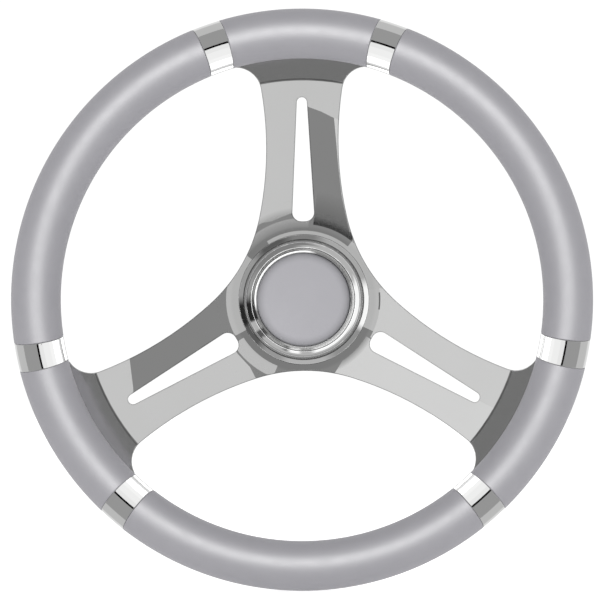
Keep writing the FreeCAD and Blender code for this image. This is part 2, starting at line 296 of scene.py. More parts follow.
    def surface(
        self, color: Socket, roughness: Socket, normal: Socket | None = None, metallic: float = 0.0
    ) -> None:
        """Gives the tree its surface.

        Args:
            color: The base colour.
            roughness: The roughness.
            normal: The bumped normal, if the surface has one.
            metallic: 1 for metal, 0 for anything else.
        """
        shader = self.add("ShaderNodeBsdfPrincipled", Metallic=metallic)
        self.join(color, shader.inputs["Base Color"])
        self.join(roughness, shader.inputs["Roughness"])
        if normal is not None:
            self.join(normal, shader.inputs["Normal"])
        self.join(shader.outputs["BSDF"], self.output().inputs["Surface"])


@dataclass(frozen=True)
class PolishedSteel:
    """Mirror-polished stainless steel, with faint buffing and the slight waviness of pressed sheet."""

    color: Color = (0.66, 0.662, 0.66)
    duller: Color = (0.635, 0.635, 0.63)
    roughness: tuple[float, float] = (0.045, 0.085)
    smear_scale: float = 35.0
    smear_detail: float = 5.0
    wave_scale: float = 45.0
    wave_detail: float = 1.0
    wave_depth: float = 6e-6

    def build(self) -> bpy.types.Material:
        """Makes the material.

        Returns:
            The polished steel.
        """
        material = new_material(Finish.POLISHED.value)
        chain = NodeChain(material.node_tree)
        where = chain.object_coordinates()
        smear = chain.noise(where, self.smear_scale, self.smear_detail)
        wave = chain.noise(where, self.wave_scale, self.wave_detail)
        chain.surface(
            color=chain.tint(smear, self.color, self.duller),
            roughness=chain.spread(smear, *self.roughness),
            normal=chain.bump(wave, self.wave_depth),
            metallic=1.0,
        )
        return material


@dataclass(frozen=True)
class TurnedSteel:
    """Plain stainless steel with the fine rings that a lathe leaves."""

    color: Color = (0.56, 0.56, 0.55)
    duller: Color = (0.50, 0.50, 0.495)
    roughness: tuple[float, float] = (0.24, 0.34)
    smear_scale: float = 60.0
    smear_detail: float = 4.0
    ring_scale: float = 2600.0
    ring_detail: float = 2.0
    ring_depth: float = 4e-6

    def build(self) -> bpy.types.Material:
        """Makes the material.

        Returns:
            The turned steel.
        """
        material = new_material(Finish.PLAIN.value)
        chain = NodeChain(material.node_tree)
        where = chain.object_coordinates()
        smear = chain.noise(where, self.smear_scale, self.smear_detail)
        parts = chain.add("ShaderNodeSeparateXYZ")
        chain.join(where, parts.inputs["Vector"])
        along = chain.math("ADD", chain.off_axis(where), parts.outputs["Y"])
        grain = {"Scale": self.ring_scale, "Detail": self.ring_detail}
        rings = chain.add("ShaderNodeTexNoise", noise_dimensions="1D", **grain)
        chain.join(along, rings.inputs["W"])
        chain.surface(
            color=chain.tint(smear, self.color, self.duller),
            roughness=chain.spread(smear, *self.roughness),
            normal=chain.bump(rings.outputs["Fac"], self.ring_depth),
            metallic=1.0,
        )
        return material


@dataclass(frozen=True)
class GripSkin:
    """Smooth silver-grey polyurethane skin: a soft sheen over a very fine grain."""

    color: Color = (0.302, 0.297, 0.320)
    paler: Color = (0.318, 0.313, 0.336)
    roughness: tuple[float, float] = (0.46, 0.52)
    mottle_scale: float = 120.0
    mottle_detail: float = 4.0
    grain_scale: float = 1800.0
    grain_detail: float = 2.0
    grain_depth: float = 6e-6

    def build(self) -> bpy.types.Material:
        """Makes the material.

        Returns:
            The grip's skin.
        """
        material = new_material(Finish.GRIP.value)
        chain = NodeChain(material.node_tree)
        where = chain.object_coordinates()
        mottle = chain.noise(where, self.mottle_scale, self.mottle_detail)
        grain = chain.noise(where, self.grain_scale, self.grain_detail)
        chain.surface(
            color=chain.tint(mottle, self.color, self.paler),
            roughness=chain.spread(mottle, *self.roughness),
            normal=chain.bump(grain, self.grain_depth),
        )
        return material


@dataclass(frozen=True)
class SatinDisc:
    """The cap's satin grey disc, with painted shade that darkens its colour towards its rounded edge.

    The painted shade grows between two distances from the axis, given in metres.
    """

    color: Color = (0.385, 0.38, 0.405)
    paler: Color = (0.40, 0.395, 0.42)
    # colour of the painted shade at the disc's rounded edge
    edge: Color = (0.20, 0.20, 0.212)
    painted_shade_radii: tuple[float, float] = (0.0225, 0.0283)
    painted_shade_falloff: float = 1.6
    roughness: tuple[float, float] = (0.5, 0.56)
    cloud_scale: float = 90.0
    grain_scale: float = 4000.0
    grain_detail: float = 2.0
    grain_depth: float = 3e-6

    def build(self) -> bpy.types.Material:
        """Makes the material.

        Returns:
            The disc's satin finish.
        """
        material = new_material(Finish.DISC.value)
        chain = NodeChain(material.node_tree)
        where = chain.object_coordinates()
        cloud = chain.noise(where, self.cloud_scale)
        grain = chain.noise(where, self.grain_scale, self.grain_detail)
        # painted shade: the colour darkens from the middle's grey to the edge colour near the disc's rim
        painted_edge_shade = chain.map_range(chain.off_axis(where), self.painted_shade_radii, (0.0, 1.0))
        mix = chain.add("ShaderNodeMix", data_type="RGBA")
        chain.join(chain.math("POWER", painted_edge_shade, self.painted_shade_falloff), mix.inputs["Factor"])
        middle, rim = (socket for socket in mix.inputs if socket.type == "RGBA")
        chain.join(chain.tint(cloud, self.color, self.paler), middle)
        rim.default_value = (*self.edge, 1.0)
        chain.surface(
            color=next(socket for socket in mix.outputs if socket.type == "RGBA"),
            roughness=chain.spread(cloud, *self.roughness),
            normal=chain.bump(grain, self.grain_depth),
        )
        return material


@dataclass(frozen=True)
class SealRubber:
    """Plain black rubber."""

    color: Color = (0.02, 0.02, 0.02)
    worn: Color = (0.035, 0.035, 0.034)
    roughness: tuple[float, float] = (0.45, 0.6)
    bloom_scale: float = 300.0

    def build(self) -> bpy.types.Material:
        """Makes the material.

        Returns:
            The seal's rubber.
        """
        material = new_material(Finish.RUBBER.value)
        chain = NodeChain(material.node_tree)
        bloom = chain.noise(chain.object_coordinates(), self.bloom_scale)
        chain.surface(
            color=chain.tint(bloom, self.color, self.worn),
            roughness=chain.spread(bloom, *self.roughness),
        )
        return material


@dataclass
class Wardrobe:
    """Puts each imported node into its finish."""

    finishes: dict[Finish, bpy.types.Material] = field(default_factory=dict)

    def make(self) -> None:
        """Builds every finish once."""
        self.finishes = {
            Finish.POLISHED: PolishedSteel().build(),
            Finish.PLAIN: TurnedSteel().build(),
            Finish.GRIP: GripSkin().build(),
            Finish.DISC: SatinDisc().build(),
            Finish.RUBBER: SealRubber().build(),
        }

    def dress_nodes(self) -> None:
        """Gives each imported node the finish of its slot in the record."""
        for row in frame["record"]["subparts"]:
            node = frame["nodes"][row["node"]]
            finish = Finish(row["material_slot"])
            node.data.materials.clear()
            node.data.materials.append(self.finishes[finish])
            LOG.info("dressed %s in %s", node.name, finish.value)


@dataclass(frozen=True)
class Corner:
    """A corner of a turned profile: its radius, its height over the plate and its rounding, in mm."""

    radius: float
    height: float
    rounding: float = 0.0

    def reach(self, before: "Corner", after: "Corner") -> float:
        """How far the rounding runs along the profile from the corner.

        Args:
            before: The corner before this one.
            after: The corner after it.

        Returns:
            The distance in mm.
        """
        back = Vector((before.radius - self.radius, before.height - self.height))
        ahead = Vector((after.radius - self.radius, after.height - self.height))
        return self.rounding / math.tan(back.angle(ahead) / 2)


@dataclass
class Hub:
    """The turned pieces on the front of the plate: the bezel, the cap's cup and its disc.

    The fields are in millimetres, and the profiles follow the solids that they stand for.
    """

    plate_front: float = 31.0
    steps: int = 240
    round_segments: int = 7
    bezel_radius: float = 39.6
    bezel_back_round: float = 0.4
    bezel_edge_height: float = 1.8
    bezel_edge_round: float = 1.0
    shoulder_height: float = 3.4
    shoulder_round: float = 0.2
    fine_round: float = 0.35
    groove_floor: float = 2.7
    groove_outer: float = 36.5
    crown_outer: float = 35.7
    crown_inner: float = 30.9
    crown_height: float = 12.6
    crown_outer_round: float = 2.7
    crown_inner_round: float = 2.0
    ledge_height: float = 10.3
    cap_bore: float = 30.1
    spigot_bore: float = 24.58
    skirt_pocket: float = 27.5
    pocket_floor: float = 3.5
    cap_seat: float = 7.0
    cup_radius: float = 29.8
    cup_wall: float = 1.2
    cup_floor: float = 8.42
    cup_top: float = 11.32
    lip_round: float = 0.5
    cup_back: float = 7.12
    skirt_outer: float = 27.38
    skirt_inner: float = 25.38
    skirt_end: float = 3.92
    seal_groove: float = 26.1
    seal_groove_front: float = 6.22
    seal_groove_back: float = 4.82
    disc_radius: float = 28.48
    disc_back: float = 8.47
    disc_edge: float = 11.17
    disc_crown: float = 11.57
    disc_edge_round: float = 2.15
    dome_rings: int = 12
    sharp_from: float = 50.0

    def bezel_profile(self) -> list[Corner]:
        """The bezel's profile: shoulder, groove, crown, ledge and the bore behind them.

        Returns:
            Its corners, closed.
        """
        return [
            Corner(self.spigot_bore, 0.0),
            Corner(self.bezel_radius, 0.0, self.bezel_back_round),
            Corner(self.bezel_radius, self.bezel_edge_height, self.bezel_edge_round),
            Corner(self.groove_outer, self.shoulder_height, self.shoulder_round),
            Corner(self.groove_outer, self.groove_floor, self.fine_round),
            Corner(self.crown_outer, self.groove_floor, self.fine_round),
            Corner(self.crown_outer, self.crown_height, self.crown_outer_round),
            Corner(self.crown_inner, self.crown_height, self.crown_inner_round),
            Corner(self.crown_inner, self.ledge_height, self.fine_round),
            Corner(self.cap_bore, self.ledge_height, self.fine_round),
            Corner(self.cap_bore, self.cap_seat),
            Corner(self.skirt_pocket, self.cap_seat),
            Corner(self.skirt_pocket, self.pocket_floor),
            Corner(self.spigot_bore, self.pocket_floor),
        ]

    def cup_profile(self) -> list[Corner]:
        """The cup's profile: its floor, its lip, its back and the skirt with the seal's groove.

        Returns:
            Its corners, from the middle of its floor to the middle of its back.
        """
        inner = self.cup_radius - self.cup_wall
        return [
            Corner(0.0, self.cup_floor),
            Corner(inner, self.cup_floor),
            Corner(inner, self.cup_top, self.lip_round),
            Corner(self.cup_radius, self.cup_top, self.lip_round),
            Corner(self.cup_radius, self.cup_back),
            Corner(self.skirt_outer, self.cup_back),
            Corner(self.skirt_outer, self.seal_groove_front),
            Corner(self.seal_groove, self.seal_groove_front),
            Corner(self.seal_groove, self.seal_groove_back),
            Corner(self.skirt_outer, self.seal_groove_back),
            Corner(self.skirt_outer, self.skirt_end),
            Corner(self.skirt_inner, self.skirt_end),
            Corner(self.skirt_inner, self.cup_back),
            Corner(0.0, self.cup_back),
        ]

    def disc_profile(self) -> list[Corner]:
        """The disc's profile: its domed front, its soft edge and its flat back.

        Returns:
            Its corners, from the middle of its front to the middle of its back.
        """
        rise = self.disc_crown - self.disc_edge
        dome = (self.disc_radius**2 + rise**2) / (2 * rise)
        front = []
        for i in range(self.dome_rings):
            radius = self.disc_radius * i / self.dome_rings
            front.append(Corner(radius, self.disc_crown - dome + math.sqrt(dome**2 - radius**2)))
        return [
            *front,
            Corner(self.disc_radius, self.disc_edge, self.disc_edge_round),
            Corner(self.disc_radius, self.disc_back),
            Corner(0.0, self.disc_back),
        ]

    def turned(self, name: str, profile: list[Corner], material: bpy.types.Material) -> bpy.types.Object:
        """Turns a profile into a solid, as a lathe would.

        Args:
            name: The object's name.
            profile: Its corners in order, closed, or open where both ends lie on the axis.
            material: What it is made of.

        Returns:
            The turned piece.
        """
        shape = bmesh.new()
        verts = [
            shape.verts.new((corner.radius * MM, -(self.plate_front + corner.height) * MM, 0.0))
            for corner in profile
        ]
        for first, second in zip(verts, verts[1:]):
            shape.edges.new((first, second))
        if profile[0].radius > 0.0:
            shape.edges.new((verts[-1], verts[0]))
        for i, corner in enumerate(profile):
            if corner.rounding > 0.0:
                reach = corner.reach(profile[i - 1], profile[(i + 1) % len(profile)])
                bmesh.ops.bevel(
                    shape,
                    geom=[verts[i]],
                    offset=reach * MM,
                    offset_type="OFFSET",
                    segments=self.round_segments,
                    profile=0.5,
                    affect="VERTICES",
                    material=-1,
                )
        bmesh.ops.spin(
            shape,
            geom=shape.verts[:] + shape.edges[:],
            cent=(0.0, 0.0, 0.0),
            axis=FORWARD,
            angle=math.tau,
            steps=self.steps,
            use_merge=True,
        )
        bmesh.ops.remove_doubles(shape, verts=shape.verts, dist=WELD)
        bmesh.ops.recalc_face_normals(shape, faces=shape.faces)
        obj = new_object(name, shape, material)
        weights = obj.modifiers.new("even_flats", "WEIGHTED_NORMAL")
        weights.keep_sharp = True
        obj.data.set_sharp_from_angle(angle=math.radians(self.sharp_from))
        return obj

    def build(self, finishes: dict[Finish, bpy.types.Material]) -> dict[str, bpy.types.Object]:
        """Turns the three pieces and puts them in the place of their solids.

        Args:
            finishes: The materials by finish.

        Returns:
            The bezel, the cup and the disc, by name.
        """
        rows = [
            ("bezel", "bezel_ring", self.bezel_profile(), Finish.POLISHED),
            ("cup", "cap_cup", self.cup_profile(), Finish.POLISHED),
            ("disc", "cap_disc", self.disc_profile(), Finish.DISC),
        ]
        pieces = {}
        for name, node, profile, finish in rows:
            piece = self.turned(name, profile, finishes[finish])
            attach(piece, BODY)
            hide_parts(node)
            LOG.info("turned %s with %d faces", name, len(piece.data.polygons))
            pieces[name] = piece
        return pieces


class Seen(Enum):
    """Which rays meet a piece of the studio."""

    CAMERA = "camera"
    REFLECTION = "reflection"


class Tone(Enum):
    """How bright a light card is to the steel that mirrors it."""

    WHITE = 1.45
    PALE = 0.68
    MID = 0.48
    DIM = 0.32
    DARK = 0.15
    BLACK = 0.03


@dataclass(frozen=True)
class Span:
    """A span of the clock face and its light.

    Its angles are in degrees clockwise from the top, from -180 to 180. soft is how far inside each
    end the light reaches its own tone.
    """

    start: float
    end: float
    strength: float
    soft: float = 3.0

    def plateau(self) -> tuple[float, float]:
        """Where the span's own tone starts and ends.

        Returns:
            The two angles, which keep a fifth of a narrow span between them.
        """
        soft = min(self.soft, (self.end - self.start) * 0.4)
        return self.start + soft, self.end - soft


def emission_of(material: bpy.types.Material) -> bpy.types.Node:
    """The Emission node of a light material."""
    return next(node for node in material.node_tree.nodes if node.type == "EMISSION")


def light_material(name: str, strength: float) -> bpy.types.Material:
    """A plain white material that gives light, which no lamp sampling looks for.

    Args:
        name: The material's name.
        strength: How bright it is.

    Returns:
        The material.
    """
    material = new_material(name)
    chain = NodeChain(material.node_tree)
    light = chain.add("ShaderNodeEmission", Strength=strength)
    light.inputs["Color"].default_value = (1.0, 1.0, 1.0, 1.0)
    chain.join(light.outputs["Emission"], chain.output().inputs["Surface"])
    material.cycles.emission_sampling = "NONE"
    return material


@dataclass(frozen=True)
class Fade:
    """Two distances from the axis, in mm, between which a sheet grows from nothing to its full effect."""

    nothing: float
    full: float

    def socket(self, chain: NodeChain, result: tuple[float, float]) -> Socket:
        """A value that goes from the first result at no effect to the second at full effect."""
        reach = chain.off_axis(chain.object_coordinates())
        return chain.map_range(reach, (self.nothing * MM, self.full * MM), result)


def shade_material(name: str, clear: float, fade: Fade) -> bpy.types.Material:
    """A material that dims what lies behind it.

    Args:
        name: The material's name.
        clear: The share of the light that it lets through.
        fade: Where it fades out.

    Returns:
        The material.
    """
    material = new_material(name)
    chain = NodeChain(material.node_tree)
    glass = chain.add("ShaderNodeBsdfTransparent")
    chain.join(fade.socket(chain, (1.0, clear)), glass.inputs["Color"])
    chain.join(glass.outputs["BSDF"], chain.output().inputs["Surface"])
    return material


def sheer_material(
    name: str, strength: float, spans: list[Span] | None = None, fade: Fade | None = None
) -> bpy.types.Material:
    """A material whose light adds to what lies behind it and hides nothing.

    Args:
        name: The material's name.
        strength: How bright it is.
        spans: Spans of the clock face with a tone each, from its bottom clockwise, or none.
        fade: Where it fades out, if it does.

    Returns:
        The material.
    """
    material = light_material(name, strength)
    chain = NodeChain(material.node_tree)
    light = emission_of(material)
    if spans:
        stops = [
            ((angle + 180.0) / 360.0, span.strength / strength)
            for span in spans
            for angle in span.plateau()
        ]
        greys = chain.greys(chain.clock(chain.object_coordinates()), stops)
        chain.join(greys, light.inputs["Color"])
    if fade:
        chain.join(fade.socket(chain, (0.0, strength)), light.inputs["Strength"])
    both = chain.add("ShaderNodeAddShader")
    clear = chain.add("ShaderNodeBsdfTransparent")
    chain.join(light.outputs["Emission"], both.inputs[0])
    chain.join(clear.outputs["BSDF"], both.inputs[1])
    chain.join(both.outputs["Shader"], chain.output().inputs["Surface"])
    return material


def show_to(obj: bpy.types.Object, seen: Seen) -> None:
    """Makes an object part of the studio and limits which rays meet it.

    Args:
        obj: The object.
        seen: The rays that meet it.
    """
    obj.visible_camera = seen is Seen.CAMERA
    obj.visible_glossy = seen is Seen.REFLECTION
    obj.visible_diffuse = False
    obj.visible_shadow = False
    obj.visible_transmission = False
    obj.visible_volume_scatter = False


def section_arc(centre: tuple[float, float], radius: float, first: float, last: float) -> Outline:
    """Points on an arc of a section through the axis.

    Args:
        centre: The arc's centre, as a radius from the axis and a depth forward, in mm.
        radius: The arc's own radius in mm.
        first: Where it starts, in degrees outward from straight forward.
        last: Where it ends.

    Returns:
        The points, as radius and depth.
    """
    steps = max(1, round((last - first) / 8))
    angles = [math.radians(first + (last - first) * i / steps) for i in range(steps + 1)]
    return [(centre[0] + radius * math.sin(a), centre[1] + radius * math.cos(a)) for a in angles]


def on_circle(radius: float, start: float, end: float) -> Outline:
    """Points on a circle round the axis.

    Args:
        radius: The circle's radius in mm.
        start: The first point's angle in degrees.
        end: The last point's angle.

    Returns:
        The points, as x and z.
    """
    steps = max(1, round(abs(end - start) / 3))
    angles = [math.radians(start + (end - start) * i / steps) for i in range(steps + 1)]
    return [(radius * math.cos(a), radius * math.sin(a)) for a in angles]


def swept(profile: Outline, start: float, end: float) -> Shape:
    """Sweeps an open profile round the wheel's axis.

    Args:
        profile: Radius and depth of its points, in mm.
        start: The angle that it starts at.
        end: The angle that it ends at.

    Returns:
        The swept surface.
    """
    shape = bmesh.new()
    verts = [shape.verts.new((radius * MM, -depth * MM, 0.0)) for radius, depth in profile]
    edges = [shape.edges.new(pair) for pair in zip(verts, verts[1:])]
    turn = Matrix.Rotation(math.radians(start), 3, FORWARD)
    bmesh.ops.rotate(shape, verts=verts, cent=(0.0, 0.0, 0.0), matrix=turn)
    bmesh.ops.spin(
        shape,
        geom=[*verts, *edges],
        cent=(0.0, 0.0, 0.0),
        axis=FORWARD,
        angle=math.radians(end - start),
        steps=max(2, round((end - start) / 4)),
        use_merge=end - start >= 360.0,
    )
    return shape


@dataclass
class CardSet:
    """Light cards that only some pieces mirror, and that hide nothing from the others."""

    name: str
    pieces: list[bpy.types.Object]
    members: bpy.types.Collection | None = None
    count: int = 0

    def reach(self, light: bpy.types.Object) -> None:
        """Lets a light reach only this set's pieces.

        Args:
            light: A lamp or a card.
        """
        if self.members is None:
            self.members = bpy.data.collections.new(f"{self.name}_receivers")
            for piece in self.pieces:
                self.members.objects.link(piece)
        light.light_linking.receiver_collection = self.members

    def add(
        self,
        shape: Shape,
        strength: float,
        spans: list[Span] | None = None,
        fade: Fade | None = None,
    ) -> None:
        """Makes a card of the set.

        Args:
            shape: The card's surface, which is freed.
            strength: How bright it is, at its brightest.
            spans: The tones round the clock face, if they differ.
            fade: Where it fades out, if it does.
        """
        self.count += 1
        name = f"{self.name}_card_{self.count}"
        card = new_object(name, shape, sheer_material(name, strength, spans, fade))
        show_to(card, Seen.REFLECTION)
        self.reach(card)


@dataclass(frozen=True)
class PlateFront:
    """The front of the pressed plate, in mm: flat at the hub, a bend, then a shallow cone."""

    depth: float = 31.0
    bend_start: float = 41.2
    bend_round: float = 20.0
    slope: float = 13.0

    def tilt(self, radius: float) -> float:
        """How far the front leans towards the axis.

        Args:
            radius: The distance from the axis, in mm.

        Returns:
            The angle in radians.
        """
        reach = max(0.0, radius - self.bend_start) / self.bend_round
        steepest = math.radians(self.slope)
        return math.asin(reach) if reach < math.sin(steepest) else steepest

    def depth_at(self, radius: float) -> float:
        """How far the front lies before the hub's back face.

        Args:
            radius: The distance from the axis, in mm.

        Returns:
            The depth in mm.
        """
        tilt = self.tilt(radius)
        past_bend = max(0.0, radius - self.bend_start - self.bend_round * math.sin(tilt))
        return self.depth + self.bend_round * (1 - math.cos(tilt)) + past_bend * math.tan(tilt)

    def mirror(self, spot: Vector, eye: Vector, reach: float) -> Vector:
        """Follows a line of sight to the plate and back off it.

        Args:
            spot: A place on the plate, of which only x and z count, in metres.
            eye: Where the line starts.
            reach: How far to follow it past the plate, in mm.

        Returns:
            The point that is reached, in metres.
        """
        outward = Vector((spot.x, 0.0, spot.z))
        radius = outward.length / MM
        outward.normalize()
        tilt = self.tilt(radius)
        normal = FORWARD * math.cos(tilt) - outward * math.sin(tilt)
        place = Vector((spot.x, -self.depth_at(radius) * MM, spot.z))
        return place + (place - eye).normalized().reflect(normal) * reach * MM


@dataclass(frozen=True)
class RingPart:
    """A part of a ring round the hub, in mm and degrees, and its effect.

    The effect is how bright the part is, or the share of the light that a shade lets through.
    """

    inner: float
    outer: float
    start: float
    end: float
    effect: float
    fade: Fade | None = None


@dataclass
class PlateLights:
    """The sheets of light that the polished plate and its arms mirror.

    They hang close over the plate, and each is given by the places of the plate that show it, as x
    and z in mm. Only reflections meet them, and the camera looks through them.
    """

    spider: bpy.types.Object
    eye: Vector
    front: PlateFront = PlateFront()
    hover: float = 0.3
    line_hover: float = 0.15
    arm_end: float = 132.2
    hub_edge: float = 39.3
    ring_step: float = 1.5
    top_light: float = 0.475
    top_fade: Fade = Fade(48.5, 56.0)
    top_edge_light: float = 0.60
    left_light: float = 0.495
    right_upper_light: float = 0.565
    right_lower_light: float = 0.63
    right_lower_fade: Fade = Fade(42.8, 47.6)
    line_radii: tuple[float, float] = (45.5, 46.4)
    line_span: tuple[float, float] = (-8.0, 5.0)
    line_light: float = 0.22

    def ring_lights(self) -> list[RingPart]:
        """The lights on the flat round the bezel.

        Returns:
            The parts: right, upper right, top, just over the top, left and lower left.
        """
        return [
            RingPart(self.hub_edge, 46.2, -25.0, 8.0, 0.40),
            RingPart(self.hub_edge, 52.0, 8.0, 50.0, 0.38),
            RingPart(self.hub_edge, 41.7, 50.0, 122.0, 0.37),
            RingPart(43.0, 49.4, 86.0, 140.0, 0.19, Fade(43.0, 48.5)),
            RingPart(self.hub_edge, 47.1, 142.0, 207.5, 0.385),
            RingPart(43.2, 50.6, 212.0, 248.0, 0.42),
        ]

    def ring_shades(self) -> dict[str, RingPart]:
        """The shades at the foot of the top arm's right branch.

        Returns:
            A dark streak and a slow dusk over it, by name.
        """
        return {
            "streak_over_hub": RingPart(45.6, 50.5, 51.0, 82.5, 0.4, Fade(50.5, 46.8)),
            "dusk_over_hub": RingPart(45.6, 66.0, 48.0, 82.5, 0.6, Fade(66.0, 49.0)),
        }

    def hover_over(self, shape: Shape, hover: float) -> Shape:
        """Lifts a flat shape to where the camera sees it mirrored in the plate.

        Args:
            shape: The shape, in the plane of x and z.
            hover: Its height over the plate, in mm.

        Returns:
            The same shape.
        """
        for vert in shape.verts:
            vert.co = self.front.mirror(vert.co, self.eye, hover)
        return shape

    def sheet(self, corners: Outline, hover: float) -> Shape:
        """Cuts a sheet.

        Args:
            corners: Its corners in order, as x and z in mm.
            hover: Its height over the plate, in mm.

        Returns:
            The sheet, over the plate.
        """
        shape = bmesh.new()
        face = shape.faces.new([shape.verts.new((x * MM, 0.0, z * MM)) for x, z in corners])
        # Without a normal, the triangles of a hollow outline overlap
        face.normal_update()
        bmesh.ops.triangulate(shape, faces=[face])
        return self.hover_over(shape, hover)

    def ring_sheet(self, part: RingPart) -> Shape:
        """Cuts a sheet that is a part of a ring.

        Args:
            part: The part.

        Returns:
            The sheet, over the plate.
        """
        width = part.outer - part.inner
        steps = max(1, round(width / self.ring_step))
        profile = [(part.inner + width * i / steps, 0.0) for i in range(steps + 1)]
        return self.hover_over(swept(profile, part.start, part.end), self.hover)

    def top_arm(self) -> Outline:
        """The light on the top arm's end and left branch.

        Returns:
            Its corners.
        """
        return [
            *on_circle(self.arm_end, 104.0, 76.0),
            (23.0, 107.7),
            (19.4, 109.5),
            (11.6, 113.5),
            (4.3, 116.2),
            (0.0, 117.5),
            (0.0, 53.0),
            (-7.4, 52.1),
            (-14.5, 49.4),
            (-19.0, 47.4),
            (-24.5, 46.6),
            (-29.0, 44.5),
            (-36.0, 48.0),
            (-36.0, 60.0),
            (-27.0, 94.0),
            (-31.0, 122.0),
        ]

    def top_arm_edge(self) -> Outline:
        """The strip of light along the top arm's right edge.

        Returns:
            Its corners.
        """
        return [
            (19.4, 109.5),
            (23.5, 107.6),
            (24.0, 90.0),
            (26.0, 63.0),
            (31.0, 40.6),
            (28.3, 40.6),
            (23.7, 63.0),
            (20.9, 90.2),
        ]

    def left_arm(self) -> Outline:
        """The light on the left arm's end and lower branch.

        Returns:
            Its corners.
        """
        return [
            *on_circle(self.arm_end, 196.0, 224.0),
            (-89.2, -89.6),
            (-67.9, -70.4),
            (-36.0, -57.7),
            (-27.0, -51.0),
            (-29.7, -46.8),
            (-32.8, -40.7),
            (-40.2, -32.7),
            (-44.5, -25.7),
            (-103.0, -59.5),
            (-103.0, -53.2),
            (-104.0, -44.9),
            (-105.1, -35.6),
            (-105.5, -31.0),
        ]

    def right_arm_upper(self) -> Outline:
        """The light on the right arm's upper half.

        Returns:
            Its corners.
        """
        return [
            *on_circle(46.2, 8.0, -30.0),
            *on_circle(self.arm_end, -30.0, -16.0),
            (122.2, -31.0),
            (94.9, -23.6),
            (68.0, -2.3),
            (56.0, 7.9),
        ]

    def right_arm_lower(self) -> Outline:
        """The light on the right arm's lower half.

        Returns:
            Its corners.
        """
        return [
            *on_circle(43.8, -31.0, -58.0),
            (18.2, -45.06),
            (36.0, -57.7),
            (67.9, -70.4),
            (89.2, -89.6),
            *on_circle(self.arm_end, -44.0, -30.0),
        ]

    def dark_line(self) -> None:
        """Hangs the short dim line beside the bezel, lower than the sheets, so that it hides them."""
        near, far = self.line_radii
        first, last = self.line_span
        corners = [*on_circle(near, first, last), *on_circle(far, last, first)]
        material = light_material("line_beside_hub", self.line_light)
        line = new_object("line_beside_hub", self.sheet(corners, self.line_hover), material)
        show_to(line, Seen.REFLECTION)

    def build(self) -> None:
        """Hangs the sheets."""
        cards = CardSet("plate", [self.spider])
        for outline, light, fade in (
            (self.top_arm(), self.top_light, self.top_fade),
            (self.top_arm_edge(), self.top_edge_light, None),
            (self.left_arm(), self.left_light, None),
            (self.right_arm_upper(), self.right_upper_light, None),
            (self.right_arm_lower(), self.right_lower_light, self.right_lower_fade),
        ):
            cards.add(self.sheet(outline, self.hover), light, fade=fade)
        for part in self.ring_lights():
            cards.add(self.ring_sheet(part), part.effect, fade=part.fade)
        for name, part in self.ring_shades().items():
            shade = new_object(name, self.ring_sheet(part), shade_material(name, part.effect, part.fade))
            show_to(shade, Seen.REFLECTION)
        self.dark_line()
        LOG.info("hung %d sheets of light over the plate", cards.count)


@dataclass(frozen=True)
class HoodStrip:
    """A strip of a hood: where it lies across the section, in degrees, and its light round the clock."""

    first: float
    last: float
    spans: list[Span]


@dataclass
class Hood:
    """Strips of light in a ring round a turned edge.

    Angles across the section run from the axis' side, below 0, over straight forward, at 0, to the
    outside.
    """

    name: str
    pieces: list[bpy.types.Object]
    centre: tuple[float, float]
    radius: float
    strips: list[HoodStrip]

    def build(self) -> None:
        """Makes the strips."""
        cards = CardSet(self.name, self.pieces)
        for strip in self.strips:
            profile = section_arc(self.centre, self.radius, strip.first, strip.last)
            brightest = max(span.strength for span in strip.spans)
            cards.add(swept(profile, 0.0, 360.0), brightest, strip.spans)
        LOG.info("hung %d strips round %s", cards.count, self.name)


